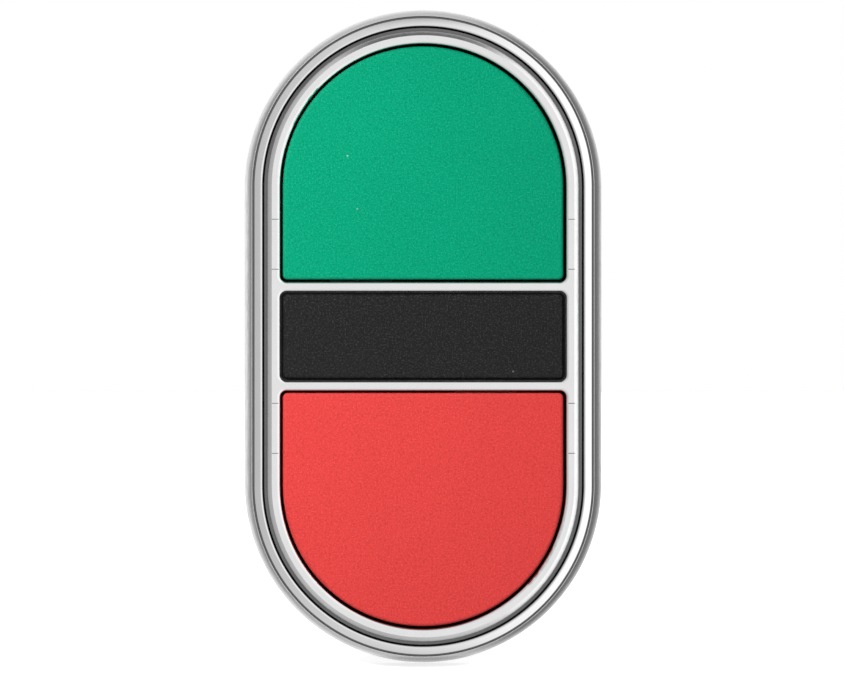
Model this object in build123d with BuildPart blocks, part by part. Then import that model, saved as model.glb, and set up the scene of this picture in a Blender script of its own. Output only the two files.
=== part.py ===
from build123d import *
import math
import os

# A twin push button for a 22 mm panel hole, with two contact blocks. Millimetres, +Z up.
# The panel's front face is the plane y = 0, the head's front faces -Y, and the spigot's axis is the Y axis.
# A "reach" is a distance from the line that joins the centres of the head's two round ends.

# The head's outline and the steps across its front, from the outside in
head_width = 30.0
arc_spacing = 24.8
flank_spread = 0.86
step_width = 0.17
crest_slope = 0.51
crest_round = 0.19
ring_gap = 0.10
ledge_width = 0.29
frame_chamfer = 0.35
frame_flat = 0.71
cap_gap = 0.20

# Heights of the ring's profile below the frame's front
crest_drop = 0.30
slope_drop = 0.25
step_depth = 0.60
groove_depth = 1.00
ring_lift = 0.30

# Frame, bars and windows
bar_width = 0.83
middle_half_height = 3.69
bar_edge_round = 0.28
window_corner = 0.50
web_thickness = 0.80
plate_recess = 1.05
witness_heights = (5.55, 9.69)
witness_width = 0.08
witness_depth = 0.05

# Caps, centre plate, pushers and their springs
travel = 3.60
cap_recess = 0.10
cap_face = 1.20
cap_wall = 1.00
skirt_depth = 3.40
cap_edge_gap = 0.17
cap_corner = 0.40
cap_edge_round = 0.30
centre_gap = 0.16
centre_foot_gap = 0.04
centre_foot_height = 0.35
centre_edge_round = 0.35
pusher_plate = 1.20
pusher_gap = 0.15
arm_thickness = 1.40
arm_stop_gap = 0.35
press_room = 0.50
leg_inner = 2.60
leg_half_height = 3.60
leg_round = 0.60
leg_clearance = 0.40
return_spring_offset = 2.10
return_spring_radius = 3.00
return_spring_wire = 0.45
return_spring_turns = 5
spring_post_radius = 2.30
spring_end_gap = 0.02

# Body, spigot, gasket and seal
gasket_thickness = 1.20
gasket_inset = 1.80
floor_thickness = 1.60
rim_step = 0.50
rim_gap = 0.13
flange_thickness = 1.20
flange_width = 0.63
body_gap = 0.10
catch_width = 3.20
catch_depth = 0.80
catch_gap = 0.15
spigot_radius = 11.00
spigot_wall = 2.05
spigot_length = 12.80
key_width = 3.00
key_top = 12.60
key_length = 1.00
key_clearance = 0.20
seal_thickness = 1.50
seal_ledge = 0.65
seal_gap = 0.05
seal_leg_gap = 0.10
partition = 1.00

# Behind the panel: bayonet ring, collar, carrier and clamp screws
panel_thickness = 3.00
groove_start = 8.50
groove_width = 2.40
groove_radial = 0.80
lug_gap = 0.30
lug_height = 0.60
lug_angle = 40.0
entry_angle = 48.0
unlock_angle = 40.0
lock_ring_gap = 0.15
lock_ring_width = 2.35
lock_pocket_gap = 0.30
lock_arm_angle = 200.0
lock_arm_width = 4.50
lock_tab_gap = 0.65
lock_tab_clearance = 0.60
lock_tab_thickness = 2.20
lock_tab_length = 8.40
collar_front = 6.50
collar_plate = 2.10
collar_wall = 1.20
collar_height = 40.0
collar_corner = 7.00
carrier_thickness = 2.10
clamp_screw_inset = 0.40
clamp_screw_radius = 1.50
clamp_head_radius = 1.90
clamp_head_height = 2.00
clamp_head_standoff = 2.20
clamp_pad_radius = 2.10
clamp_pad_thickness = 1.20
head_clearance = 0.20
thread_gap = 0.10
carrier_screw_radius = 1.25
carrier_head_height = 1.40
blind_floor = 1.00
screw_end_gap = 0.20

# Contact blocks
block_width = 10.60
block_gap = 0.40
block_height = 39.4
block_depth = 20.0
side_wall = 1.00
front_wall = 1.00
end_wall = 2.00
cover_thickness = 1.20
cover_lip = 0.80
lip_gap = 0.10
plunger_gap = 0.30
stem_inner_inset = 0.90
stem_outer_inset = 0.255
stem_half_height = 2.40
stem_gap = 0.20
stem_length = 7.00
yoke_half_width = 3.00
yoke_half_height = 3.40
yoke_length = 11.00
yoke_cheek = 1.10
boss_radius = 1.40
boss_length = 1.70
plunger_spring_radius = 2.10
plunger_spring_wire = 0.35
plunger_spring_turns = 6
bridge_half_width = 1.60
bridge_half_length = 8.90
bridge_thickness = 0.80
tip_radius = 1.30
tip_height = 0.50
tip_offset = 7.80
contact_gap = 2.00
closed_gap = 0.02
break_lost_motion = 1.30
contact_spring_radius = 1.10
contact_spring_wire = 0.25
make_spring_length = 2.50
break_spring_length = 3.40
contact_spring_turns = 4
strip_depth = 10.80
strip_thickness = 0.80
strip_half_width = 2.50
strip_inner = 6.40
strip_riser = 9.80
strip_end_gap = 0.50
rib_start = 10.90
rib_end = 12.20
terminal_height = 14.30
wire_radius = 1.65
wire_margin = 0.05
clamp_plate_thickness = 1.20
clamp_plate_half_width = 3.20
clamp_plate_half_height = 2.90
terminal_shank_radius = 1.50
terminal_shank_reach = 7.50
terminal_head_radius = 2.50
terminal_head_height = 2.40
access_radius = 3.00
recess_width = 0.80
recess_depth = 1.10
hook_gap = 0.30
hook_thickness = 1.20
hook_drop = 1.30
hook_half_width = 2.00
notch_gap = 0.30
latch_leg = 1.40
latch_rise = 0.40
latch_plate = 1.40
latch_pivot_depth = 4.50
latch_pin_radius = 0.70
latch_pin_gap = 0.08
latch_tail = 11.00
latch_tail_rise = 0.90
ear_thickness = 1.00
ear_gap = 0.20

# Reaches, from the outside in
base_reach = head_width / 2
arc_centre = arc_spacing / 2
flank_reach = base_reach - flank_spread
slope_reach = flank_reach - step_width
crest_reach = slope_reach - crest_slope
ring_inner = crest_reach - crest_round
frame_outer = ring_inner - ring_gap
ledge_reach = frame_outer - ledge_width
window_reach = ledge_reach - frame_chamfer - frame_flat
cap_reach = window_reach - cap_gap
skirt_inner = cap_reach - cap_wall
flange_reach = frame_outer + flange_width

# Levels along Y, front (negative) to rear: the head is as high as its buttons' travel needs
head_front_stack = plate_recess + web_thickness + arm_stop_gap + arm_thickness
head_height = head_front_stack + travel + press_room + floor_thickness + gasket_thickness
frame_front = -head_height
crest_front = frame_front + crest_drop
ledge_front = frame_front + groove_depth
web_front = frame_front + plate_recess
web_rear = web_front + web_thickness
cap_front = frame_front + cap_recess
cap_under = cap_front + cap_face
skirt_end = cap_front + skirt_depth
pusher_rear = cap_under + pusher_plate
arm_front = web_rear + arm_stop_gap
arm_rear = arm_front + arm_thickness
floor_rear = -gasket_thickness
floor_front = floor_rear - floor_thickness
rim_front = floor_front - rim_step
flange_front = rim_front - flange_thickness
seal_rear = floor_front + seal_thickness

# Straight edges of the windows and caps
window_edge = middle_half_height + bar_width
cap_edge = window_edge + cap_edge_gap
skirt_edge = cap_edge + cap_wall
pusher_reach = skirt_inner - pusher_gap
pusher_edge = skirt_edge + pusher_gap
return_spring_height = arc_centre + return_spring_offset

# Inside the spigot
bore_radius = spigot_radius - spigot_wall
seal_radius = bore_radius + seal_ledge
leg_outer = math.sqrt((bore_radius - leg_clearance) ** 2 - leg_half_height**2)
stem_inner = leg_inner + stem_inner_inset
stem_outer = leg_outer - stem_outer_inset

# Behind the panel
groove_end = groove_start + groove_width
groove_radius = spigot_radius - groove_radial
lock_front = groove_start + lug_gap
lock_rear = groove_end - lug_gap
lock_inner = spigot_radius + lock_ring_gap
lock_outer = lock_inner + lock_ring_width
collar_mid = collar_front + collar_plate
clamp_screw_height = arc_centre - clamp_screw_inset
carrier_front = lock_rear + lug_gap
block_front = carrier_front + carrier_thickness
block_pitch = block_width + block_gap
block_side = block_pitch / 2 + block_width / 2
clamp_x = block_side + head_clearance + clamp_head_radius
collar_reach = max(lock_outer + lock_pocket_gap + collar_wall, clamp_x + clamp_pad_radius)
swing = math.radians(unlock_angle / 2)
lock_tab_inner = (block_side + lock_tab_gap + lock_arm_width / 2 * math.sin(swing)) / math.cos(swing)
lock_arm_reach = lock_tab_inner + lock_tab_thickness
half_swing = collar_reach * math.tan(swing) + lock_arm_width / 2 / math.cos(swing) + lug_height
tab_clear_x = lock_tab_inner * math.cos(swing) - lock_arm_width / 2 * math.sin(swing) - lock_tab_clearance
clamp_screw_hole = clamp_screw_radius + thread_gap
carrier_screw_hole = carrier_screw_radius + thread_gap
clamp_pad_rear = panel_thickness + clamp_pad_thickness
clamp_head_front = block_front + clamp_head_standoff

# Inside a contact block, along Y
leg_end = block_front - travel - stem_gap
plunger_front = leg_end + plunger_gap
stem_end = plunger_front + stem_length
yoke_end = stem_end + yoke_length
boss_end = yoke_end + boss_length
block_rear = block_front + block_depth
cover_rear = block_rear + cover_thickness
strip_front = block_front + strip_depth
strip_rear = strip_front + strip_thickness
wire_centre = strip_rear + wire_margin + wire_radius
clamp_plate_front = wire_centre + wire_radius + wire_margin
clamp_plate_rear = clamp_plate_front + clamp_plate_thickness
terminal_head_rear = clamp_plate_rear + terminal_head_height
terminal_hole = terminal_shank_radius + thread_gap
block_top = block_height / 2
cavity_half_width = block_width / 2 - side_wall
cavity_half_height = block_top - end_wall
cavity_front = block_front + front_wall
notch_bottom = collar_height / 2 - latch_leg - 2 * notch_gap
latch_bottom = block_top + latch_rise
latch_pivot_y = block_front + latch_pivot_depth
latch_pivot_z = latch_bottom + latch_plate / 2

# The make contact closes towards the rear, and the break contact opens towards the rear
make_bridge_front = strip_front - tip_height - contact_gap - tip_height - bridge_thickness
break_bridge_front = make_bridge_front + bridge_thickness
break_strip_front = break_bridge_front - closed_gap - 2 * tip_height - strip_thickness


def at(y, x=0, z=0, side=1):
    """A plane that faces the front at this level; side -1 turns it half round about its normal."""
    return Plane(origin=(x, y, z), x_dir=(side, 0, 0), z_dir=(0, -1, 0))


def slab(outline, front, rear, x=0, z=0, side=1, mode=Mode.ADD):
    """An outline carried from its rear level to its front level."""
    with BuildSketch(at(rear, x, z, side)) as section:
        add(outline)
    extrude(section.sketch, amount=rear - front, mode=mode)


def disc(radius, front, rear, x=0, z=0, mode=Mode.ADD):
    """A round along Y."""
    with BuildSketch(at(rear, x, z)) as section:
        Circle(radius)
    extrude(section.sketch, amount=rear - front, mode=mode)


def bar(x_span, y_span, z_span, mode=Mode.ADD):
    """A rectangular block between two limits on each axis."""
    spans = (x_span, y_span, z_span)
    with Locations(tuple((low + high) / 2 for low, high in spans)):
        Box(*(high - low for low, high in spans), mode=mode)


def stadium(reach):
    """The head's outline at this reach."""
    with BuildSketch() as outline:
        SlotCenterToCenter(arc_spacing, 2 * reach, rotation=90)
    return outline.sketch


def half_stadium(reach, edge, corner):
    """The part of the head's outline above a straight edge, with two rounded corners."""
    with BuildSketch() as outline:
        SlotCenterToCenter(arc_spacing, 2 * reach, rotation=90)
        with Locations((0, edge)):
            Rectangle(3 * reach, arc_spacing + reach, align=(Align.CENTER, Align.MIN), mode=Mode.INTERSECT)
        fillet(outline.vertices().group_by(Axis.Y)[0], corner)
    return outline.sketch


def rounded(width, height, corner):
    """A rectangle with rounded corners."""
    with BuildSketch() as outline:
        RectangleRounded(width, height, corner)
    return outline.sketch


def leg_outline(gap=0.0):
    """A pusher leg's cross-section, grown by a gap."""
    with BuildSketch() as outline:
        with Locations((-(leg_inner + leg_outer) / 2, 0)):
            width = leg_outer - leg_inner + 2 * gap
            RectangleRounded(width, 2 * (leg_half_height + gap), leg_round + gap)
    return outline.sketch


def sector(inner, outer, middle, width):
    """A piece of a flat ring, middle and width in degrees."""
    with BuildSketch() as outline:
        Circle(outer)
        Circle(inner, mode=Mode.SUBTRACT)
        edges = [middle + share * width / 2 for share in (-1, 1)]
        radians = [math.radians(edge) for edge in edges]
        corners = [(2 * outer * math.cos(angle), 2 * outer * math.sin(angle)) for angle in radians]
        with BuildLine():
            Polyline((0, 0), *corners, close=True)
        make_face(mode=Mode.INTERSECT)
    return outline.sketch


def screw_recess(radius, rear, x, z):
    """A cross cut into the rear of a screw's head."""
    reach = radius * 0.62
    for half_x, half_z in ((reach, recess_width / 2), (recess_width / 2, reach)):
        bar((x - half_x, x + half_x), (rear - recess_depth, rear), (z - half_z, z + half_z), Mode.SUBTRACT)


def save(builder, name):
    """Labels a finished piece and writes its STEP file."""
    builder.part.label = name
    export_step(builder.part, f"parts/{name}.step")


def coil(name, radius, wire, turns, front, rear, x=0, z=0):
    """A compression spring along Y between two faces."""
    start = front + wire / 2 + spring_end_gap
    height = rear - front - wire - 2 * spring_end_gap
    with BuildPart() as spring:
        with BuildLine() as path:
            Helix(height / turns, height, radius, center=(x, start, z), direction=(0, 1, 0))
        with BuildSketch(Plane(path.line @ 0, z_dir=path.line % 0)):
            Circle(wire / 2)
        sweep(path=path.line, is_frenet=True)
    save(spring, name)


def make_bezel_ring():
    """The outer ring: its section is drawn where the upper arc starts and carried once round the head."""
    with BuildPart() as bezel_ring:
        with BuildLine() as path:
            right, left, end = window_reach, -window_reach, arc_centre + window_reach
            Line((right, 0, arc_centre), (right, 0, -arc_centre))
            ThreePointArc((right, 0, -arc_centre), (0, 0, -end), (left, 0, -arc_centre))
            Line((left, 0, -arc_centre), (left, 0, arc_centre))
            ThreePointArc((left, 0, arc_centre), (0, 0, end), (right, 0, arc_centre))
        with BuildSketch(Plane((0, 0, arc_centre), x_dir=(1, 0, 0), z_dir=(0, 0, 1))) as section:
            with BuildLine():
                slope_front = crest_front + slope_drop
                step_rear = slope_front + step_depth
                flank_front = slope_front + step_width
                Polyline(
                    (crest_reach, crest_front),
                    (slope_reach, slope_front),
                    (slope_reach, step_rear),
                    (flank_reach - 0.02, step_rear),
                    (flank_reach, flank_front),
                )
                TangentArc((base_reach, -ring_lift), (flank_reach, flank_front), tangent=(0, -1))
                Polyline(
                    (base_reach, -ring_lift),
                    (flange_reach + body_gap, -ring_lift),
                    (flange_reach + body_gap, flange_front),
                    (ring_inner, flange_front),
                    (ring_inner, crest_front + crest_round),
                )
                RadiusArc((ring_inner, crest_front + crest_round), (crest_reach, crest_front), crest_round)
            make_face()
        sweep(sections=section.sketch, path=path.line)
        catch_y = (floor_rear, floor_rear + catch_depth)
        catch_in = base_reach - gasket_inset + catch_gap
        catch_out = flange_reach + 2 * body_gap
        for side in (-1, 1):
            catch_x = sorted((side * catch_in, side * catch_out))
            for height in (-arc_centre / 2, arc_centre / 2):
                bar(catch_x, catch_y, (height - catch_width / 2, height + catch_width / 2))
            catch_z = sorted((side * (arc_centre + catch_in), side * (arc_centre + catch_out)))
            bar((-catch_width / 2, catch_width / 2), catch_y, catch_z)
    save(bezel_ring, "bezel_ring")


def make_window_frame():
    """The plated frame: a rim with three windows, two crossbars and the web behind the centre plate."""
    with BuildPart() as window_frame:
        slab(stadium(ledge_reach), frame_front, ledge_front)
        slab(stadium(frame_outer), ledge_front, rim_front)
        slab(stadium(flange_reach), flange_front, rim_front)
        for side in (-1, 1):
            window = half_stadium(window_reach, window_edge, window_corner)
            slab(window, frame_front, web_rear, side=side, mode=Mode.SUBTRACT)
        middle = rounded(2 * window_reach, 2 * middle_half_height, window_corner)
        slab(middle, frame_front, web_front, mode=Mode.SUBTRACT)
        slab(stadium(window_reach), web_rear, rim_front, mode=Mode.SUBTRACT)
        windows = window_frame.faces().sort_by(Axis.Y)[0].inner_wires()
        fillet([edge for wire in windows for edge in wire.edges()], bar_edge_round)
        front = window_frame.faces().sort_by(Axis.Y)[0]
        chamfer(front.outer_wire().edges(), frame_chamfer)
        seat = (frame_front, frame_front + witness_depth)
        for side in (-1, 1):
            line_x = sorted((side * window_reach, side * ledge_reach))
            for height in witness_heights:
                for line in (-height, height):
                    bar(line_x, seat, (line - witness_width / 2, line + witness_width / 2), Mode.SUBTRACT)
    save(window_frame, "window_frame")


def make_centre_plate():
    """The blank plate between the crossbars, with a foot that fills its window down to the web."""
    with BuildPart() as centre_plate:
        half_height = middle_half_height - centre_gap
        slab(rounded(2 * cap_reach, 2 * half_height, cap_corner), cap_front, web_front)
        front = centre_plate.faces().sort_by(Axis.Y)[0]
        fillet(front.edges(), centre_edge_round)
        foot_width, foot_half = 2 * (window_reach - centre_foot_gap), middle_half_height - centre_foot_gap
        foot = rounded(foot_width, 2 * foot_half, window_corner - centre_foot_gap)
        slab(foot, web_front - centre_foot_height, web_front)
    save(centre_plate, "centre_plate")


def make_cap(name, side):
    """A D-shaped cap with a skirt, notched where its pusher's arm passes."""
    with BuildPart() as cap:
        slab(half_stadium(cap_reach, cap_edge, cap_corner), cap_front, skirt_end, side=side)
        fillet(cap.faces().sort_by(Axis.Y)[0].edges(), cap_edge_round)
        inside = half_stadium(skirt_inner, skirt_edge, cap_corner)
        slab(inside, cap_under, skirt_end, side=side, mode=Mode.SUBTRACT)
        with BuildSketch(at(skirt_end, side=side)) as notch:
            with Locations((-(leg_inner + leg_outer) / 2, (cap_edge + skirt_edge) / 2)):
                Rectangle(leg_outer - leg_inner + 2 * cap_gap, 2 * cap_wall)
        extrude(notch.sketch, amount=skirt_end - arm_front + cap_gap, mode=Mode.SUBTRACT)
    save(cap, name)


def make_pusher(name, side):
    """The plate under a cap, with an arm to the spigot and a leg down one half of it."""
    with BuildPart() as pusher:
        plate = half_stadium(pusher_reach, pusher_edge, cap_corner)
        slab(plate, cap_under, pusher_rear, side=side)
        with BuildSketch(at(pusher_rear, side=side)) as spring_hole:
            with Locations((0, return_spring_height)):
                Circle(return_spring_radius + return_spring_wire / 2 + leg_clearance)
        extrude(spring_hole.sketch, amount=pusher_plate, mode=Mode.SUBTRACT)
        with BuildSketch(at(arm_rear, side=side)) as arm:
            arm_top = pusher_edge + 2 * cap_wall
            with Locations((-(leg_inner + leg_outer) / 2, (arm_top - leg_half_height) / 2)):
                Rectangle(leg_outer - leg_inner, arm_top + leg_half_height)
        extrude(arm.sketch, amount=arm_thickness)
        slab(leg_outline(), arm_rear, leg_end, side=side)
    save(pusher, name)


def make_button_body():
    """Floor, rim, spring posts and the spigot with its key, partition and bayonet groove."""
    with BuildPart() as button_body:
        slab(stadium(flange_reach), floor_front, floor_rear)
        slab(stadium(flange_reach), rim_front, floor_front)
        slab(stadium(window_reach + rim_gap), rim_front, floor_front, mode=Mode.SUBTRACT)
        disc(spigot_radius, floor_rear, spigot_length)
        bar((-key_width / 2, key_width / 2), (floor_rear, key_length), (0, key_top))
        disc(bore_radius, floor_front, spigot_length, mode=Mode.SUBTRACT)
        disc(seal_radius, floor_front, seal_rear, mode=Mode.SUBTRACT)
        bar((-partition / 2, partition / 2), (seal_rear + seal_gap, leg_end), (-bore_radius, bore_radius))
        with BuildSketch(at(groove_end)) as groove:
            Circle(spigot_radius + 1)
            Circle(groove_radius, mode=Mode.SUBTRACT)
        extrude(groove.sketch, amount=groove_width, mode=Mode.SUBTRACT)
        for middle in (0, 180):
            entry = sector(groove_radius, spigot_radius + 1, middle, entry_angle)
            slab(entry, groove_start, spigot_length, mode=Mode.SUBTRACT)
        post_height = cap_under + travel + leg_clearance
        for side in (-1, 1):
            disc(spring_post_radius, post_height, floor_front, z=side * return_spring_height)
    save(button_body, "button_body")


def make_panel_gasket():
    """The flat gasket between the body's floor and the panel."""
    with BuildPart() as panel_gasket:
        slab(stadium(base_reach - gasket_inset), floor_rear, 0)
        disc(spigot_radius + lug_gap, floor_rear, 0, mode=Mode.SUBTRACT)
        half_key = key_width / 2 + key_clearance
        bar((-half_key, half_key), (floor_rear, 0), (0, key_top + key_clearance), Mode.SUBTRACT)
    save(panel_gasket, "panel_gasket")


def make_leg_seal():
    """The rubber seal in the spigot's mouth, round both legs."""
    with BuildPart() as leg_seal:
        disc(seal_radius - seal_gap, floor_front, seal_rear)
        for side in (-1, 1):
            slab(leg_outline(seal_leg_gap), floor_front, seal_rear, side=side, mode=Mode.SUBTRACT)
    save(leg_seal, "leg_seal")


def make_lock_lever():
    """The bayonet ring: two lugs in the spigot's groove and a thumb arm at the side."""
    with BuildPart() as lock_lever:
        disc(lock_outer, lock_front, lock_rear)
        disc(lock_inner, lock_front, lock_rear, mode=Mode.SUBTRACT)
        for middle in (unlock_angle, unlock_angle + 180):
            lug = sector(spigot_radius - lug_height, (lock_inner + lock_outer) / 2, middle, lug_angle)
            slab(lug, lock_front, lock_rear)
        with BuildSketch(at(lock_rear)) as arm:
            with Locations(Rotation(0, 0, lock_arm_angle)):
                with Locations(((lock_inner + lock_outer) / 2, 0)):
                    length = lock_arm_reach - (lock_inner + lock_outer) / 2
                    Rectangle(length, lock_arm_width, align=(Align.MIN, Align.CENTER))
            fillet(arm.vertices().sort_by_distance((0, 0))[-2:], lock_arm_width / 4)
        extrude(arm.sketch, amount=lock_rear - lock_front)
        with BuildSketch(at(lock_rear + lock_tab_length)) as tab:
            with Locations(Rotation(0, 0, lock_arm_angle)):
                with Locations((lock_tab_inner, 0)):
                    Rectangle(lock_tab_thickness, lock_arm_width, align=(Align.MIN, Align.CENTER))
            fillet(tab.vertices().sort_by_distance((0, 0))[-2:], lock_arm_width / 4)
        extrude(tab.sketch, amount=lock_tab_length)
    save(lock_lever, "lock_lever")


def make_mounting_collar():
    """The cast collar: a front plate, a pocket for the bayonet ring and room for the blocks' hooks."""
    with BuildPart() as collar:
        slab(rounded(2 * collar_reach, collar_height, collar_corner), collar_front, carrier_front)
        disc(spigot_radius + lock_ring_gap, collar_front, carrier_front, mode=Mode.SUBTRACT)
        disc(lock_outer + lock_pocket_gap, collar_mid, carrier_front, mode=Mode.SUBTRACT)
        pocket = (collar_mid, carrier_front)
        bar((-collar_reach, -lock_outer / 2), pocket, (-half_swing, half_swing), Mode.SUBTRACT)
        hook_reach = block_pitch / 2 + hook_half_width + 2 * notch_gap
        bar((-hook_reach, hook_reach), pocket, (-collar_height / 2, collar_height / 2), Mode.SUBTRACT)
        for side in (-1, 1):
            hole_x, hole_z = side * clamp_x, side * clamp_screw_height
            disc(clamp_screw_hole, collar_front, carrier_front, hole_x, hole_z, Mode.SUBTRACT)
            blind = collar_front + blind_floor
            disc(carrier_screw_hole, blind, carrier_front, -hole_x, hole_z, Mode.SUBTRACT)
    save(collar, "mounting_collar")


def make_block_carrier():
    """The plate that closes the collar and carries the contact blocks."""
    with BuildPart() as carrier:
        slab(rounded(2 * collar_reach, collar_height, collar_corner), carrier_front, block_front)
        disc(spigot_radius + lock_ring_gap, carrier_front, block_front, mode=Mode.SUBTRACT)
        slot_y = (carrier_front, block_front)
        bar((-2 * collar_reach, -tab_clear_x), slot_y, (-half_swing, half_swing), Mode.SUBTRACT)
        half_notch = hook_half_width + notch_gap
        for side in (-1, 1):
            hole_x, hole_z = side * clamp_x, side * clamp_screw_height
            disc(clamp_screw_hole, carrier_front, block_front, hole_x, hole_z, Mode.SUBTRACT)
            disc(carrier_screw_hole, carrier_front, block_front, -hole_x, hole_z, Mode.SUBTRACT)
            for notch_side in (-1, 1):
                middle = side * block_pitch / 2
                notch_z = sorted((notch_side * notch_bottom, notch_side * collar_height))
                notch_x = (middle - half_notch, middle + half_notch)
                bar(notch_x, slot_y, notch_z, Mode.SUBTRACT)
    save(carrier, "block_carrier")


def make_carrier_screws():
    """Two small screws that hold the carrier to the collar."""
    with BuildPart() as screws:
        for side in (-1, 1):
            x, z = -side * clamp_x, side * clamp_screw_height
            head_rear = block_front + carrier_head_height
            disc(clamp_head_radius, block_front, head_rear, x, z)
            disc(carrier_screw_radius, collar_front + blind_floor + screw_end_gap, block_front, x, z)
            screw_recess(clamp_head_radius, head_rear, x, z)
    save(screws, "carrier_screws")


def make_clamp_screw(name, side):
    """A screw that presses its pad on the panel's rear face."""
    x, z = side * clamp_x, side * clamp_screw_height
    head_rear = clamp_head_front + clamp_head_height
    with BuildPart() as screw:
        disc(clamp_head_radius, clamp_head_front, head_rear, x, z)
        disc(clamp_screw_radius, clamp_pad_rear, clamp_head_front, x, z)
        screw_recess(clamp_head_radius, head_rear, x, z)
    save(screw, name)


def make_clamp_pad(name, side):
    """The pad at a clamp screw's tip."""
    with BuildPart() as pad:
        disc(clamp_pad_radius, panel_thickness, clamp_pad_rear, side * clamp_x, side * clamp_screw_height)
    save(pad, name)


def make_housing(name, x):
    """A contact block's housing, open at the rear, with wire entries, ribs, a foot and the latch's ears."""
    hook_x = (x - hook_half_width, x + hook_half_width)
    with BuildPart() as housing:
        bar((x - block_width / 2, x + block_width / 2), (block_front, block_rear), (-block_top, block_top))
        fillet(housing.edges().filter_by(Axis.Y), side_wall / 2)
        cavity_x = (x - cavity_half_width, x + cavity_half_width)
        cavity_z = (-cavity_half_height, cavity_half_height)
        bar(cavity_x, (cavity_front, block_rear), cavity_z, Mode.SUBTRACT)
        stem_x = sorted(math.copysign(reach, x) for reach in (stem_inner - stem_gap, stem_outer + stem_gap))
        stem_z = (-stem_half_height - stem_gap, stem_half_height + stem_gap)
        bar(stem_x, (block_front, cavity_front), stem_z, Mode.SUBTRACT)
        for side in (-1, 1):
            rib = sorted((side * rib_start, side * rib_end))
            bar(cavity_x, (cavity_front, strip_front), rib)
            shelf = sorted((side * (cavity_half_height - end_wall / 2), side * cavity_half_height))
            bar(cavity_x, (cavity_front, strip_front), shelf)
        with BuildSketch(Plane((x, wire_centre, -block_top), x_dir=(1, 0, 0), z_dir=(0, 0, 1))) as wires:
            Circle(wire_radius)
        extrude(wires.sketch, amount=block_height, mode=Mode.SUBTRACT)
        foot_front = carrier_front - hook_gap - hook_thickness
        foot_top = notch_bottom + notch_gap
        bar(hook_x, (foot_front, block_front), (-block_top, -foot_top))
        bar(hook_x, (foot_front, foot_front + hook_thickness), (-foot_top, -foot_top + hook_drop))
        for side in (-1, 1):
            ear_start = hook_half_width + ear_gap
            ear_x = sorted((x + side * ear_start, x + side * (ear_start + ear_thickness)))
            ear_y = (latch_pivot_y - latch_plate, latch_pivot_y + latch_plate)
            bar(ear_x, ear_y, (block_top, latch_pivot_z + latch_plate))
        hinge_line = Plane((x, latch_pivot_y, latch_pivot_z), x_dir=(0, 1, 0), z_dir=(1, 0, 0))
        with BuildSketch(hinge_line) as pivot:
            Circle(latch_pin_radius + latch_pin_gap)
        extrude(pivot.sketch, amount=block_width / 2, both=True, mode=Mode.SUBTRACT)
    save(housing, name)


def make_cover(name, x):
    """The rear cover, with a lip inside the housing and a driver hole over each terminal screw."""
    with BuildPart() as cover:
        bar((x - block_width / 2, x + block_width / 2), (block_rear, cover_rear), (-block_top, block_top))
        fillet(cover.edges().filter_by(Axis.Y), side_wall / 2)
        lip_half_width, lip_half_height = cavity_half_width - lip_gap, cavity_half_height - lip_gap
        lip_y = (block_rear - cover_lip, block_rear)
        bar((x - lip_half_width, x + lip_half_width), lip_y, (-lip_half_height, lip_half_height))
        inner_x = (x - lip_half_width + side_wall, x + lip_half_width - side_wall)
        bar(inner_x, lip_y, (-lip_half_height + side_wall, lip_half_height - side_wall), Mode.SUBTRACT)
        for side in (-1, 1):
            disc(access_radius, block_rear - cover_lip, cover_rear, x, side * terminal_height, Mode.SUBTRACT)
        chamfer(cover.faces().sort_by(Axis.Y)[-1].outer_wire().edges(), cover_thickness / 4)
    save(cover, name)


def make_latch(name, x):
    """The rocker on top of a block: a hook in front of the carrier, a pivot pin and a thumb tail."""
    hook_x = (x - hook_half_width, x + hook_half_width)
    hook_front = carrier_front - hook_gap - hook_thickness
    hook_bottom = notch_bottom + notch_gap
    leg_y = (block_front - latch_leg - head_clearance, block_front - head_clearance)
    latch_top = latch_bottom + latch_plate
    with BuildPart() as latch:
        hook_z = (hook_bottom - hook_drop, hook_bottom + latch_leg)
        bar(hook_x, (hook_front, hook_front + hook_thickness), hook_z)
        bar(hook_x, (hook_front, leg_y[1]), (hook_bottom, hook_bottom + latch_leg))
        bar(hook_x, leg_y, (hook_bottom, latch_top))
        bar(hook_x, (leg_y[0], latch_pivot_y + latch_plate), (latch_bottom, latch_top))
        tail_y = (latch_pivot_y, latch_pivot_y + latch_tail - latch_pivot_depth)
        bar(hook_x, tail_y, (latch_bottom + latch_tail_rise, latch_top + latch_tail_rise))
        with BuildSketch(Plane((x, latch_pivot_y, latch_pivot_z), x_dir=(0, 1, 0), z_dir=(1, 0, 0))) as pin:
            Circle(latch_pin_radius)
        extrude(pin.sketch, amount=hook_half_width + ear_gap + ear_thickness, both=True)
    save(latch, name)


def make_plunger(name, x, window_front, window_rear):
    """A stem that the button's leg pushes, and a yoke with a window for the bridge and its spring."""
    yoke_x = (x - yoke_half_width, x + yoke_half_width)
    window_half = yoke_half_width - yoke_cheek
    with BuildPart() as plunger:
        stem_x = sorted(math.copysign(reach, x) for reach in (stem_inner, stem_outer))
        bar(stem_x, (plunger_front, stem_end), (-stem_half_height, stem_half_height))
        bar(yoke_x, (stem_end, yoke_end), (-yoke_half_height, yoke_half_height))
        window_z = (-yoke_half_height, yoke_half_height)
        bar((x - window_half, x + window_half), (window_front, window_rear), window_z, Mode.SUBTRACT)
        disc(boss_radius, yoke_end, boss_end, x)
    save(plunger, name)


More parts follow.
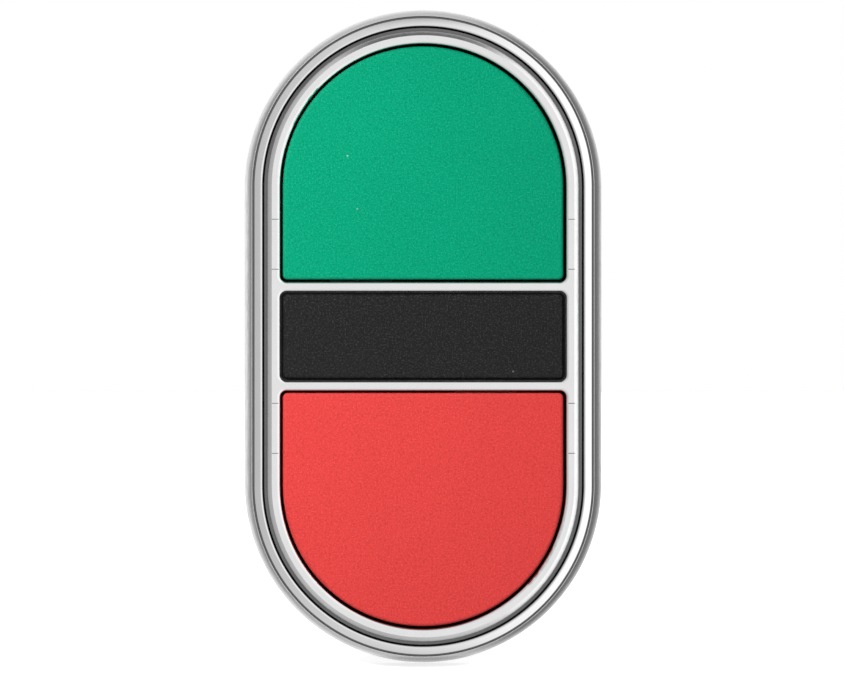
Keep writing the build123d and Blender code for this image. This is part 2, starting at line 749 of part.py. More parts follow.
def make_bridge(name, x, front, tip_front):
    """The moving contact strip, and its two silver tips as a node of their own."""
    with BuildPart() as bridge:
        bridge_x = (x - bridge_half_width, x + bridge_half_width)
        bar(bridge_x, (front, front + bridge_thickness), (-bridge_half_length, bridge_half_length))
        fillet(bridge.edges().filter_by(Axis.Y), bridge_half_width / 4)
    save(bridge, f"{name}_bridge")
    with BuildPart() as tips:
        for side in (-1, 1):
            disc(tip_radius, tip_front, tip_front + tip_height - closed_gap, x, side * tip_offset)
    save(tips, f"{name}_bridge_tips")


def make_terminal(name, x, side, contact_front):
    """A fixed terminal strip; one whose contact lies further forward has a riser."""
    outer = cavity_half_height - strip_end_gap
    with BuildPart() as terminal:
        strip_x = (x - strip_half_width, x + strip_half_width)
        inner = strip_inner if contact_front == strip_front else strip_riser
        bar(strip_x, (strip_front, strip_rear), sorted((side * inner, side * outer)))
        if contact_front != strip_front:
            riser = sorted((side * strip_riser, side * (strip_riser + strip_thickness)))
            bar(strip_x, (contact_front, strip_rear), riser)
            foot = sorted((side * strip_inner, side * (strip_riser + strip_thickness)))
            bar(strip_x, (contact_front, contact_front + strip_thickness), foot)
        disc(terminal_hole, strip_front, strip_rear, x, side * terminal_height, Mode.SUBTRACT)
    save(terminal, name)


def make_fixed_tips(name, x, front):
    """The silver tips on the two fixed terminals."""
    with BuildPart() as tips:
        for side in (-1, 1):
            disc(tip_radius, front, front + tip_height, x, side * tip_offset)
    save(tips, name)


def make_terminal_clamp(name, x, side):
    """The plate that clamps a wire on the terminal strip, and the screw that drives it."""
    height = side * terminal_height
    with BuildPart() as plate:
        plate_x = (x - clamp_plate_half_width, x + clamp_plate_half_width)
        plate_z = (height - clamp_plate_half_height, height + clamp_plate_half_height)
        bar(plate_x, (clamp_plate_front, clamp_plate_rear), plate_z)
        disc(terminal_hole, clamp_plate_front, clamp_plate_rear, x, height, Mode.SUBTRACT)
    save(plate, name.replace("terminal", "clamp_plate"))
    with BuildPart() as screw:
        disc(terminal_head_radius, clamp_plate_rear, terminal_head_rear, x, height)
        disc(terminal_shank_radius, clamp_plate_front - terminal_shank_reach, clamp_plate_rear, x, height)
        screw_recess(terminal_head_radius, terminal_head_rear, x, height)
    save(screw, name.replace("terminal", "terminal_screw"))


def make_contact_block(name, x, makes):
    """One contact block: it makes or breaks its circuit when the button is pressed."""
    make_housing(f"{name}_housing", x)
    make_cover(f"{name}_cover", x)
    make_latch(f"{name}_latch", x)
    if makes:
        front, contact_front = make_bridge_front, strip_front
        window = (front - make_spring_length, front + bridge_thickness + closed_gap)
        spring_span = (window[0], front)
        bridge_tips, fixed_tips = front + bridge_thickness, strip_front - tip_height
    else:
        front, contact_front = break_bridge_front, break_strip_front
        window = (front - break_lost_motion, front + bridge_thickness + break_spring_length)
        spring_span = (front + bridge_thickness, window[1])
        bridge_tips, fixed_tips = front - tip_height + closed_gap, break_strip_front + strip_thickness
    make_plunger(f"{name}_plunger", x, *window)
    make_bridge(name, x, front, bridge_tips)
    make_fixed_tips(f"{name}_fixed_tips", x, fixed_tips)
    spring_size = (contact_spring_radius, contact_spring_wire, contact_spring_turns)
    coil(f"{name}_contact_spring", *spring_size, *spring_span, x)
    spring_size = (plunger_spring_radius, plunger_spring_wire, plunger_spring_turns)
    coil(f"{name}_plunger_spring", *spring_size, yoke_end, block_rear, x)
    for side, place in ((1, "upper"), (-1, "lower")):
        make_terminal(f"{name}_terminal_{place}", x, side, contact_front)
        make_terminal_clamp(f"{name}_terminal_{place}", x, side)


os.makedirs("parts", exist_ok=True)
make_bezel_ring()
make_window_frame()
make_centre_plate()
make_button_body()
make_panel_gasket()
make_leg_seal()
for colour, side in (("green", 1), ("red", -1)):
    make_cap(f"{colour}_cap", side)
    make_pusher(f"{colour}_pusher", side)
    spring_size = (return_spring_radius, return_spring_wire, return_spring_turns)
    coil(f"{colour}_return_spring", *spring_size, cap_under, floor_front, z=side * return_spring_height)
make_lock_lever()
make_mounting_collar()
make_block_carrier()
make_carrier_screws()
for place, side in (("upper", 1), ("lower", -1)):
    make_clamp_screw(f"clamp_screw_{place}", side)
    make_clamp_pad(f"clamp_pad_{place}", side)
make_contact_block("left", -block_pitch / 2, makes=True)
make_contact_block("right", block_pitch / 2, makes=False)
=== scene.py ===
import math

import bmesh
import bpy
from mathutils import Matrix, Vector


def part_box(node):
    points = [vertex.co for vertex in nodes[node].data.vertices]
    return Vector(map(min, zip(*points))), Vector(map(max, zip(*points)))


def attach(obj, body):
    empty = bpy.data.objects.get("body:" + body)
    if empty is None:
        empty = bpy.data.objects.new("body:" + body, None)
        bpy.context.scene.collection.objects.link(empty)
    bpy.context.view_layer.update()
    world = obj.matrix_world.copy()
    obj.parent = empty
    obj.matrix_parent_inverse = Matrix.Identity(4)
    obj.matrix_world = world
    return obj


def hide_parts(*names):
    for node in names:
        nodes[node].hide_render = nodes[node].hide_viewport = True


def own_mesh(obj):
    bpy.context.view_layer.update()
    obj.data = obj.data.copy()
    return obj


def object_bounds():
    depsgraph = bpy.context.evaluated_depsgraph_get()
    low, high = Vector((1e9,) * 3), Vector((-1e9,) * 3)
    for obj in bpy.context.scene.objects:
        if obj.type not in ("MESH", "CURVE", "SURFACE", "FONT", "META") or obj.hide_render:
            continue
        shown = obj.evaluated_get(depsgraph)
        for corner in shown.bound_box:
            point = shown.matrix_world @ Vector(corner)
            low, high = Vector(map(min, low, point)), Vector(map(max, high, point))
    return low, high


# The looks of a twin push button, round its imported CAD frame: materials, a few pieces drawn again, small
# moulded details, floor, light and camera. Lengths are in millimetres unless a comment says metres, and MM
# turns them into metres.

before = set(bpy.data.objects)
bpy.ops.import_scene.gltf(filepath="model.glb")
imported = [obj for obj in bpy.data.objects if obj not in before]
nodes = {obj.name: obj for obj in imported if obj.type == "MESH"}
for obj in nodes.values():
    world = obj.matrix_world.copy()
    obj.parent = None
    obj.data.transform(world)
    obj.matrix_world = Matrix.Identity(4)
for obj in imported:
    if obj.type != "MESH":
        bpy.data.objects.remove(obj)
cad_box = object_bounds()
MM = 0.001

# The Mix node's sockets when it mixes colours
COLOUR_A, COLOUR_B, COLOUR_OUT = 6, 7, 2


# ---------------------------------------------------------------- materials

class Finish:
    """One node material: a Principled shader, and helpers that wire textures in the object's coordinates."""

    def __init__(self, name, **sockets):
        self.mat = bpy.data.materials.new(name)
        self.mat.use_nodes = True
        self.nodes, self.links = self.mat.node_tree.nodes, self.mat.node_tree.links
        self.nodes.clear()
        self.out = self.nodes.new("ShaderNodeOutputMaterial")
        self.shader = self.nodes.new("ShaderNodeBsdfPrincipled")
        self.links.new(self.shader.outputs["BSDF"], self.out.inputs["Surface"])
        self.coords = self.nodes.new("ShaderNodeTexCoord").outputs["Object"]
        self.normal = None
        for key, value in sockets.items():
            socket = self.shader.inputs[key.replace("_", " ")]
            socket.default_value = (*value, 1.0) if isinstance(value, tuple) else value

    def stretched(self, stretch):
        mapping = self.nodes.new("ShaderNodeMapping")
        mapping.inputs["Scale"].default_value = stretch
        self.links.new(self.coords, mapping.inputs["Vector"])
        return mapping.outputs["Vector"]

    def noise(self, size_mm, detail=2.0, rough=0.5, stretch=None, distortion=0.0):
        """Noise whose blobs are about this many millimetres across."""
        tex = self.nodes.new("ShaderNodeTexNoise")
        tex.inputs["Scale"].default_value = 1 / (size_mm * MM)
        tex.inputs["Detail"].default_value = detail
        tex.inputs["Roughness"].default_value = rough
        tex.inputs["Distortion"].default_value = distortion
        self.links.new(self.stretched(stretch) if stretch else self.coords, tex.inputs["Vector"])
        return tex.outputs["Fac"]

    def cells(self, size_mm, feature="F1", stretch=None):
        tex = self.nodes.new("ShaderNodeTexVoronoi")
        tex.feature = feature
        tex.inputs["Scale"].default_value = 1 / (size_mm * MM)
        self.links.new(self.stretched(stretch) if stretch else self.coords, tex.inputs["Vector"])
        return tex.outputs["Distance"]

    def span(self, value, low, high, to_low=0.0, to_high=1.0):
        """Maps a value's range to another, clamped."""
        node = self.nodes.new("ShaderNodeMapRange")
        limits = {"From Min": low, "From Max": high, "To Min": to_low, "To Max": to_high}
        for key, number in limits.items():
            node.inputs[key].default_value = number
        self.links.new(value, node.inputs["Value"])
        return node.outputs["Result"]

    def math(self, operation, first, second):
        node = self.nodes.new("ShaderNodeMath")
        node.operation = operation
        for slot, value in zip(node.inputs, (first, second)):
            if isinstance(value, (int, float)):
                slot.default_value = value
            else:
                self.links.new(value, slot)
        return node.outputs[0]

    def blend(self, factor, first, second):
        """A colour between two colours or sockets."""
        node = self.nodes.new("ShaderNodeMix")
        node.data_type = "RGBA"
        self.links.new(factor, node.inputs["Factor"])
        for socket, value in zip((node.inputs[COLOUR_A], node.inputs[COLOUR_B]), (first, second)):
            if isinstance(value, tuple):
                socket.default_value = (*value, 1.0)
            else:
                self.links.new(value, socket)
        return node.outputs[COLOUR_OUT]

    def groove_shade(self, reach_mm, low=0.42, high=0.97, floor=0.0):
        """Falls from 1 in the open to floor deep in a groove: ambient occlusion, used as painted shade."""
        node = self.nodes.new("ShaderNodeAmbientOcclusion")
        node.samples = 8
        node.inputs["Distance"].default_value = reach_mm * MM
        return self.span(node.outputs["AO"], low, high, floor, 1.0)

    def edges(self, width_mm):
        """High along edges, from how far a rounded normal leans from the true one."""
        bevel = self.nodes.new("ShaderNodeBevel")
        bevel.samples = 4
        bevel.inputs["Radius"].default_value = width_mm * MM
        geometry = self.nodes.new("ShaderNodeNewGeometry")
        dot = self.nodes.new("ShaderNodeVectorMath")
        dot.operation = "DOT_PRODUCT"
        self.links.new(bevel.outputs["Normal"], dot.inputs[0])
        self.links.new(geometry.outputs["Normal"], dot.inputs[1])
        return self.span(dot.outputs["Value"], 0.98, 0.75)

    def colour(self, socket):
        self.links.new(socket, self.shader.inputs["Base Color"])
        return self

    def roughness(self, socket):
        self.links.new(socket, self.shader.inputs["Roughness"])
        return self

    def bump(self, height, depth_mm, strength=1.0):
        node = self.nodes.new("ShaderNodeBump")
        node.inputs["Strength"].default_value = strength
        node.inputs["Distance"].default_value = depth_mm * MM
        self.links.new(height, node.inputs["Height"])
        if self.normal:
            self.links.new(self.normal, node.inputs["Normal"])
        self.normal = node.outputs["Normal"]
        self.links.new(self.normal, self.shader.inputs["Normal"])
        return self


def tint(colour, factor):
    return tuple(min(1.0, c * factor) for c in colour)


# Sizes of the painted glints (lighter specks that stand in for sparkle) and of the grain's pits, and how far
# apart dust motes lie
GLINT_SIZE = 0.13
PIT_SIZE = 0.17
MOTE_SPACING = 2.6
MOTE_CLOUD = 5.0
MOTE_COLOUR = (0.75, 0.74, 0.72)


def moulded(name, colour, grain_mm=0.35, depth_mm=0.012, rough=(0.42, 0.58), specular=0.4, wear=0.25,
            glints_and_pits=0.0, dust=0.0, shade_grooves_mm=0.0, edge_mm=0.12):
    """Moulded plastic: fine grain, a slow drift, paler edges, and where asked painted glints among pits,
    dust, or painted shade darkening its grooves.
    """
    f = Finish(name, Specular_IOR_Level=specular)
    drift = f.span(f.noise(9.0, 2.0), 0.3, 0.7)
    base = f.blend(drift, tint(colour, 0.975), tint(colour, 1.02))
    if wear:
        paler = tuple(c + (0.6 - c) * 0.22 if c < 0.6 else c for c in colour)
        base = f.blend(f.math("MULTIPLY", f.edges(edge_mm), wear), base, paler)
    if glints_and_pits:
        # Painted highlight: lighter specks painted into the colour as glints
        glint = f.span(f.noise(GLINT_SIZE, 1.0), 0.50, 0.68, 0.0, glints_and_pits)
        base = f.blend(glint, base, tuple(c * 1.5 + 0.03 for c in colour))
        pit = f.span(f.noise(PIT_SIZE, 1.0, 0.5, (1.0, 1.0, 1.1)), 0.50, 0.30, 0.0, glints_and_pits * 2.0)
        base = f.blend(pit, base, tint(colour, 0.72))
    if dust:
        mote = f.span(f.cells(MOTE_SPACING), 0.035, 0.02)
        few = f.span(f.noise(MOTE_CLOUD, 1.0), 0.52, 0.60, 0.0, dust)
        base = f.blend(f.math("MULTIPLY", mote, few), base, MOTE_COLOUR)
    if shade_grooves_mm:
        # Painted shade: the colour darkens where ambient occlusion finds a groove
        base = f.blend(f.groove_shade(shade_grooves_mm, 0.15, 0.75), tint(colour, 0.12), base)
    f.colour(base)
    f.roughness(f.span(f.noise(1.1, 3.0), 0.3, 0.7, *rough))
    f.bump(f.noise(grain_mm, 2.0, 0.6), depth_mm)
    return f


def button_cap(name, colour):
    return moulded(name, colour, 0.14, 0.012, (0.32, 0.45), 0.03, 0.5, glints_and_pits=0.30, dust=0.35, edge_mm=0.3)


def plated(name, colour, rough, grain_mm, depth_mm, mottle_mm, mottle_depth, groove_shade_mm=0.0):
    """Satin plating: a mottled skin with a faint grain, with painted shade darkening it deep in its grooves.
    """
    f = Finish(name, Metallic=1.0)
    cloud = f.span(f.noise(2.4, 4.0, 0.6), 0.35, 0.65)
    skin = f.blend(cloud, tint(colour, 0.975), colour)
    if groove_shade_mm:
        # Painted shade: the colour darkens towards near black where ambient occlusion finds a groove
        skin = f.blend(f.groove_shade(groove_shade_mm), tint(colour, 0.16), skin)
    f.colour(skin)
    f.roughness(f.span(f.noise(mottle_mm * 1.3, 3.0, 0.6), 0.3, 0.7, *rough))
    f.bump(f.noise(mottle_mm, 2.0, 0.5), mottle_depth)
    f.bump(f.noise(grain_mm, 2.0, 0.6), depth_mm)
    return f


CHROME = (0.86, 0.86, 0.865)
# The last number is how far the painted groove shade reaches, in millimetres
satin_chrome = plated("satin_chrome", CHROME, (0.16, 0.22), 0.12, 0.0004, 0.9, 0.0020, 1.0)
plated_plastic = plated("plated_plastic", CHROME, (0.17, 0.27), 0.14, 0.0011, 0.50, 0.0050, 1.0)
black_plate = moulded("black_plate", (0.0085, 0.0085, 0.0085), 0.16, 0.012, (0.36, 0.50), 0.11, 0.05,
                      glints_and_pits=0.5, dust=0.5)
body_plastic = moulded("body_plastic", (0.04, 0.041, 0.044), 0.3, 0.02, (0.5, 0.7))
rubber = moulded("rubber", (0.022, 0.022, 0.022), 0.5, 0.02, (0.65, 0.85), 0.25)
natural_plastic = moulded("natural_plastic", (0.72, 0.71, 0.66), 0.4, 0.008, shade_grooves_mm=1.5)
lever_plastic = moulded("lever_plastic", (0.30, 0.31, 0.33), 0.35, 0.014)
block_housing = moulded("block_housing", (0.075, 0.075, 0.082), 0.3, 0.016, (0.45, 0.62))
block_cover = moulded("block_cover", (0.42, 0.43, 0.45), 0.3, 0.014, (0.42, 0.6))
green_plunger = moulded("green_plunger", (0.03, 0.35, 0.16), 0.35, 0.01)
red_plunger = moulded("red_plunger", (0.6, 0.05, 0.05), 0.35, 0.01)
green_cap = button_cap("green_cap", (0.0002, 0.206, 0.108))
red_cap = button_cap("red_cap", (0.485, 0.0390, 0.0365))
spring_steel = plated("spring_steel", (0.56, 0.56, 0.57), (0.25, 0.4), 0.1, 0.002, 0.6, 0.002)
cast_alloy = plated("cast_alloy", (0.62, 0.62, 0.63), (0.32, 0.5), 0.25, 0.012, 1.2, 0.02)
plated_screw = plated("plated_screw", (0.70, 0.70, 0.69), (0.2, 0.35), 0.12, 0.002, 0.6, 0.004)
brass = plated("brass", (0.72, 0.53, 0.24), (0.2, 0.36), 0.15, 0.002, 1.0, 0.004)
silver = plated("silver", (0.86, 0.86, 0.84), (0.22, 0.35), 0.12, 0.002, 0.8, 0.003)

finishes = {
    "satin_chrome": satin_chrome, "plated_plastic": plated_plastic, "black_plate": black_plate,
    "body_plastic": body_plastic, "rubber": rubber, "natural_plastic": natural_plastic,
    "lever_plastic": lever_plastic, "block_housing": block_housing, "block_cover": block_cover,
    "green_plunger": green_plunger, "red_plunger": red_plunger, "green_cap": green_cap,
    "red_cap": red_cap, "spring_steel": spring_steel, "cast_alloy": cast_alloy,
    "plated_screw": plated_screw, "brass": brass, "silver": silver,
}
for node in nodes.values():
    for slot in node.material_slots:
        slot.material = finishes[slot.material.name].mat


# ---------------------------------------------------------------- softened edges on the CAD pieces

def soften(name, width_mm, segments=2):
    """Welds the split corners and rounds the sharp edges a little, as moulding and tumbling do."""
    node = nodes[name]
    weld = node.modifiers.new("weld", "WELD")
    weld.merge_threshold = 0.0005 * MM
    bevel = node.modifiers.new("edges", "BEVEL")
    bevel.width = width_mm * MM
    bevel.segments = segments
    bevel.limit_method = "ANGLE"
    bevel.angle_limit = math.radians(38)
    bevel.use_clamp_overlap = True
    bevel.harden_normals = False
    smooth = node.modifiers.new("normals", "WEIGHTED_NORMAL")
    smooth.keep_sharp = True


soften("block_carrier", 0.12)
soften("mounting_collar", 0.16)
soften("lock_lever", 0.22)
soften("carrier_screws", 0.10)
soften("panel_gasket", 0.10)
for place in ("upper", "lower"):
    soften(f"clamp_screw_{place}", 0.10)
    soften(f"clamp_pad_{place}", 0.12)
for side in ("left", "right"):
    soften(f"{side}_housing", 0.14)
    soften(f"{side}_cover", 0.14)
    soften(f"{side}_latch", 0.16)
    for place in ("upper", "lower"):
        soften(f"{side}_terminal_screw_{place}", 0.10)


# ---------------------------------------------------------------- the bezel ring, swept round the head

def finished(name, mesh, body, slot_name, smooth_angle):
    """A piece from a mesh in metres, smooth between sharp edges, riding on a body, in a slot's finish."""
    mesh.shade_smooth()
    mesh.set_sharp_from_angle(angle=math.radians(smooth_angle))
    mesh.materials.append(finishes[slot_name].mat)
    piece = bpy.data.objects.new(name, mesh)
    bpy.context.scene.collection.objects.link(piece)
    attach(piece, body)
    return piece


def new_piece(name, verts, faces, body, slot_name, smooth_angle):
    """A piece from vertices in metres and faces, its normals turned outward."""
    mesh = bpy.data.meshes.new(name)
    mesh.from_pydata(verts, [], faces)
    bm = bmesh.new()
    bm.from_mesh(mesh)
    bmesh.ops.recalc_face_normals(bm, faces=bm.faces)
    bm.to_mesh(mesh)
    bm.free()
    return finished(name, mesh, body, slot_name, smooth_angle)


def quads(rows, columns, rows_close, columns_close):
    """Faces between neighbours in a grid of vertices stored by rows, each way closed on itself or open."""
    return [(i * columns + j, i * columns + (j + 1) % columns,
             (i + 1) % rows * columns + (j + 1) % columns, (i + 1) % rows * columns + j)
            for i in range(rows if rows_close else rows - 1)
            for j in range(columns if columns_close else columns - 1)]


def end_faces(rows, columns):
    """Faces that close a tube's first and last row."""
    return [tuple(range(columns)), tuple((rows - 1) * columns + k for k in range(columns))]


def arc(centre, radius, start, end, steps):
    """Points on an arc, angles in degrees, in millimetres."""
    turn = [math.radians(start + (end - start) * i / steps) for i in range(steps + 1)]
    return [(centre[0] + radius * math.cos(a), centre[1] + radius * math.sin(a)) for a in turn]


ring_lo, ring_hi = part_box("bezel_ring")
BASE = ring_hi.x / MM
ARC = (ring_hi.z - ring_hi.x) / MM
CREST = ring_lo.y / MM
STRAIGHT_STEPS = 24
ARC_STEPS = 128


def stadium_path():
    """Unit steps round the head's outline: (centre z, outward x, outward z), once round."""
    turns = [(ARC, a) for a in (math.pi * i / ARC_STEPS for i in range(ARC_STEPS + 1))]
    turns += [(ARC - 2 * ARC * i / STRAIGHT_STEPS, math.pi) for i in range(1, STRAIGHT_STEPS)]
    turns += [(-ARC, math.pi + math.pi * i / ARC_STEPS) for i in range(ARC_STEPS + 1)]
    turns += [(-ARC + 2 * ARC * i / STRAIGHT_STEPS, 2 * math.pi) for i in range(1, STRAIGHT_STEPS)]
    return [(z, math.cos(a), math.sin(a)) for z, a in turns]


def swept(profile):
    """A closed section, (reach, y) in millimetres, carried once round the head."""
    path = stadium_path()
    verts = [(reach * ox * MM, y * MM, (z + reach * oz) * MM) for z, ox, oz in path for reach, y in profile]
    return verts, quads(len(path), len(profile), True, True)


# The ring's section as (reach, y): a reach is a distance from the line that joins the arcs' centres
RING_INNER = 13.27
CREST_ROUND = 0.19
SLOPE = (13.97, CREST + 0.25)
NOTCH_REAR = CREST + 0.85
NOTCH_OUTER = 14.12
FLANK = (14.14, CREST + 0.42)
FLANK_REAR = -0.30
FLANGE_FRONT = -4.5
BORE = 13.90
LIP = 0.025
FLANK_RADIUS = ((BASE - FLANK[0]) ** 2 + (FLANK_REAR - FLANK[1]) ** 2) / (2 * (BASE - FLANK[0]))
flank_tilt = math.degrees(math.asin((FLANK_REAR - FLANK[1]) / FLANK_RADIUS))
profile = [(RING_INNER, FLANGE_FRONT)]
profile += arc((RING_INNER + CREST_ROUND, CREST + CREST_ROUND), CREST_ROUND, 180, 270, 6)
profile += arc((SLOPE[0] - LIP, SLOPE[1] + LIP * 0.6), LIP, -64, 0, 4)
profile += [(SLOPE[0], NOTCH_REAR), (NOTCH_OUTER, NOTCH_REAR)]
profile += arc((FLANK[0] + LIP, FLANK[1] + LIP), LIP, 180, 360 - flank_tilt, 5)
flank = arc((BASE - FLANK_RADIUS, FLANK_REAR), FLANK_RADIUS, -flank_tilt, 0, 24)
profile += [point for point in flank if point[1] > FLANK[1] + 2 * LIP]
profile += [(BORE, FLANK_REAR), (BORE, FLANGE_FRONT)]
verts, faces = swept(profile)
ring = new_piece("bezel_ring_swept", verts, faces, "root", "satin_chrome", 32)
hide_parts("bezel_ring")


# ---------------------------------------------------------------- springs with closed, ground ends

DEAD_TURNS = 0.9
DEAD_PITCH = 0.98
SPRING_STEPS = 32
WIRE_SIDES = 10
GROUND_AT = 0.32
# Wire thicknesses of the springs, in millimetres
RETURN_WIRE = 0.45
PLUNGER_WIRE = 0.35
CONTACT_WIRE = 0.25


def spring(node, body, wire_mm, turns):
    """A coil along Y that fills the CAD node's box, with a dead turn at each end, ground flat."""
    low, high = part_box(node)
    cx, cz = (low.x + high.x) / 2, (low.z + high.z) / 2
    wire = wire_mm * MM
    radius = (high.x - low.x) / 2 - wire / 2
    start, end = low.y + wire / 2, high.y - wire / 2
    total = turns + 2 * DEAD_TURNS
    dead_rise = wire * DEAD_PITCH * DEAD_TURNS
    steps = int(total * SPRING_STEPS)
    verts = []
    for i in range(steps + 1):
        t = total * i / steps
        if t < DEAD_TURNS:
            y = start + dead_rise * t / DEAD_TURNS
        elif t > turns + DEAD_TURNS:
            y = end - dead_rise * (total - t) / DEAD_TURNS
        else:
            y = start + dead_rise + (end - start - 2 * dead_rise) * (t - DEAD_TURNS) / turns
        a = 2 * math.pi * t
        for k in range(WIRE_SIDES):
            b = 2 * math.pi * k / WIRE_SIDES
            r = radius + wire / 2 * math.cos(b)
            side_y = y + wire / 2 * math.sin(b)
            flat_y = min(max(side_y, start - wire * GROUND_AT), end + wire * GROUND_AT)
            verts.append((cx + r * math.cos(a), flat_y, cz + r * math.sin(a)))
    faces = quads(steps + 1, WIRE_SIDES, False, True) + end_faces(steps + 1, WIRE_SIDES)
    piece = new_piece(node + "_wound", verts, faces, body, "spring_steel", 50)
    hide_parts(node)
    return piece


for colour in ("green", "red"):
    coil = spring(f"{colour}_return_spring", "root", RETURN_WIRE, 5)
    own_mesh(coil)
for side in ("left", "right"):
    coil = spring(f"{side}_plunger_spring", "root", PLUNGER_WIRE, 6)
    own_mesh(coil)
coil = spring("left_contact_spring", "left_plunger", CONTACT_WIRE, 4)
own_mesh(coil)
spring("right_contact_spring", "right_plunger", CONTACT_WIRE, 4)


# ---------------------------------------------------------------- moulded ribs, pips and rims

# How deep an added detail is sunk, so that it joins the CAD piece under it
SINK = 0.15
RIB_ROUND = 0.07


def ribs(name, spans, body, slot_name, round_mm=RIB_ROUND, place=None):
    """Small rectangular ribs in one mesh, each as ((x0, x1), (y0, y1), (z0, z1)), edges rounded."""
    bm = bmesh.new()
    for span in spans:
        for vert in bmesh.ops.create_cube(bm, size=1.0)["verts"]:
            vert.co = Vector([(a + b) / 2 + c * (b - a) for (a, b), c in zip(span, vert.co)]) * MM
    bmesh.ops.bevel(bm, geom=bm.edges[:], offset=round_mm * MM, segments=3, affect="EDGES", profile=0.5)
    if place:
        bm.transform(place)
    mesh = bpy.data.meshes.new(name)
    bm.to_mesh(mesh)
    bm.free()
    return finished(name, mesh, body, slot_name, 50)


def turned(name, profile, centre, axis, slot_name, steps=40, hollow=False):
    """A round piece: (radius, height) points turned about an axis, closed at both ends or a hollow rim."""
    axis = Vector(axis)
    across = axis.orthogonal().normalized()
    other = axis.cross(across)
    verts = []
    for i in range(steps):
        a = 2 * math.pi * i / steps
        out = across * math.cos(a) + other * math.sin(a)
        verts += [tuple((Vector(centre) + axis * h + out * r) * MM) for r, h in profile]
    n = len(profile)
    faces = quads(steps, n, True, hollow)
    if not hollow:
        faces += [tuple(i * n for i in range(steps)), tuple(i * n + n - 1 for i in range(steps))]
    return new_piece(name, verts, faces, "root", slot_name, 40)


def in_mm(node):
    low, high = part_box(node)
    return tuple(c / MM for c in low), tuple(c / MM for c in high)


# Sections of a pip and of a driver hole's rim, as (radius, height)
PIP = [(1.55, -SINK), (1.55, 0.18), (1.45, 0.28), (1.05, 0.28), (0.95, 0.20), (0.35, 0.16)]
DRIVER_RIM = [(3.02, -SINK), (3.02, 0.20), (3.10, 0.30), (3.45, 0.30), (3.60, 0.16), (3.60, -SINK)]
BLOCK_LENGTH = 18.6
BLOCK_REAR_GAP = 1.0
PIP_HEIGHT = 11.6
PIP_BACK = 0.6
SIDE_RIB_COUNT = 5
SIDE_RIB_PITCH = 1.1
SIDE_RIB_START = 5.6
SIDE_RIB_WIDTH = 0.5
SIDE_RIB_HALF = 4.6
SIDE_RIB_PROUD = 0.22
BORDER_PROUD = 0.16
BORDER_INSET = 1.6
BORDER_HALF = 0.25
BORDER_FRONT = 2.0
BORDER_REAR = 1.2
BAR_FRONT = 2.2
BAR_REAR = 0.8


def block_side(side, sign, block_top):
    """Grip ribs, a raised border and two pips on a block's outer side."""
    low, high = in_mm(f"{side}_housing")
    face = low[0] if sign < 0 else high[0]
    front, rear = high[1] - BLOCK_LENGTH, high[1] - BLOCK_REAR_GAP

    def proud(height):
        return tuple(sorted((face - sign * SINK, face + sign * height)))

    spans = []
    for i in range(SIDE_RIB_COUNT):
        y = rear - SIDE_RIB_START + SIDE_RIB_PITCH * i
        spans.append((proud(SIDE_RIB_PROUD), (y, y + SIDE_RIB_WIDTH), (-SIDE_RIB_HALF, SIDE_RIB_HALF)))
    edge = block_top - BORDER_INSET
    along = (front + BAR_FRONT, rear - BAR_REAR)
    for z in (-edge, edge):
        spans.append((proud(BORDER_PROUD), along, (z - BORDER_HALF, z + BORDER_HALF)))
    for y in (front + BORDER_FRONT, rear - BORDER_REAR):
        across = (-edge - BORDER_HALF, edge + BORDER_HALF)
        spans.append((proud(BORDER_PROUD), (y, y + 2 * BORDER_HALF), across))
    ribs(f"{side}_side_ribs", spans, "root", "block_housing")
    for place, z in (("upper", PIP_HEIGHT), ("lower", -PIP_HEIGHT)):
        pip_centre = (face, (front + rear) / 2 + PIP_BACK, z)
        turned(f"{side}_pip_{place}", PIP, pip_centre, (sign, 0, 0), "block_housing")


COVER_RIB_ROWS = (-3.0, -1.8, -0.6, 0.6, 1.8, 3.0)
COVER_BAR_ROWS = (-8.4, 8.4)
DRIVER_RIM_STEPS = 56


def cover_back(side, low, high):
    """Grip ribs across a cover's back, and a rim round each driver hole."""
    middle, back = (low[0] + high[0]) / 2, high[1]
    spans = []
    for rows, reach, height, half in ((COVER_RIB_ROWS, 3.4, 0.20, 0.22), (COVER_BAR_ROWS, 4.3, 0.14, 0.20)):
        across, out = (middle - reach, middle + reach), (back - SINK, back + height)
        spans += [(across, out, (z - half, z + half)) for z in rows]
    ribs(f"{side}_cover_ribs", spans, "root", "block_cover")
    for place in ("upper", "lower"):
        screw_low, screw_high = in_mm(f"{side}_terminal_screw_{place}")
        hole = (middle, back, (screw_low[2] + screw_high[2]) / 2)
        turned(f"{side}_driver_rim_{place}", DRIVER_RIM, hole, (0, 1, 0), "block_cover",
               DRIVER_RIM_STEPS, hollow=True)


LATCH_RIDGES = 5
LATCH_RIDGE_PITCH = 0.8
LATCH_RIDGE_HALF = 1.75
LATCH_RIDGE_REAR = 0.40
LATCH_RIDGE_FRONT = 0.75
LATCH_RIDGE_PROUD = 0.22
LATCH_RIDGE_ROUND = 0.06


def latch_grip(side):
    """Ridges across a latch's thumb tail."""
    low, high = in_mm(f"{side}_latch")
    middle = (low[0] + high[0]) / 2
    spans = []
    for i in range(LATCH_RIDGES):
        y = high[1] - LATCH_RIDGE_PITCH * i
        spans.append(((middle - LATCH_RIDGE_HALF, middle + LATCH_RIDGE_HALF),
                      (y - LATCH_RIDGE_FRONT, y - LATCH_RIDGE_REAR),
                      (high[2] - SINK, high[2] + LATCH_RIDGE_PROUD)))
    ribs(f"{side}_latch_grip", spans, f"{side}_latch", "lever_plastic", LATCH_RIDGE_ROUND)


LEVER_ANGLE = 200.0
LEVER_REACH = 15.2
LEVER_RIDGES = 5
LEVER_RIDGE_PITCH = 1.1


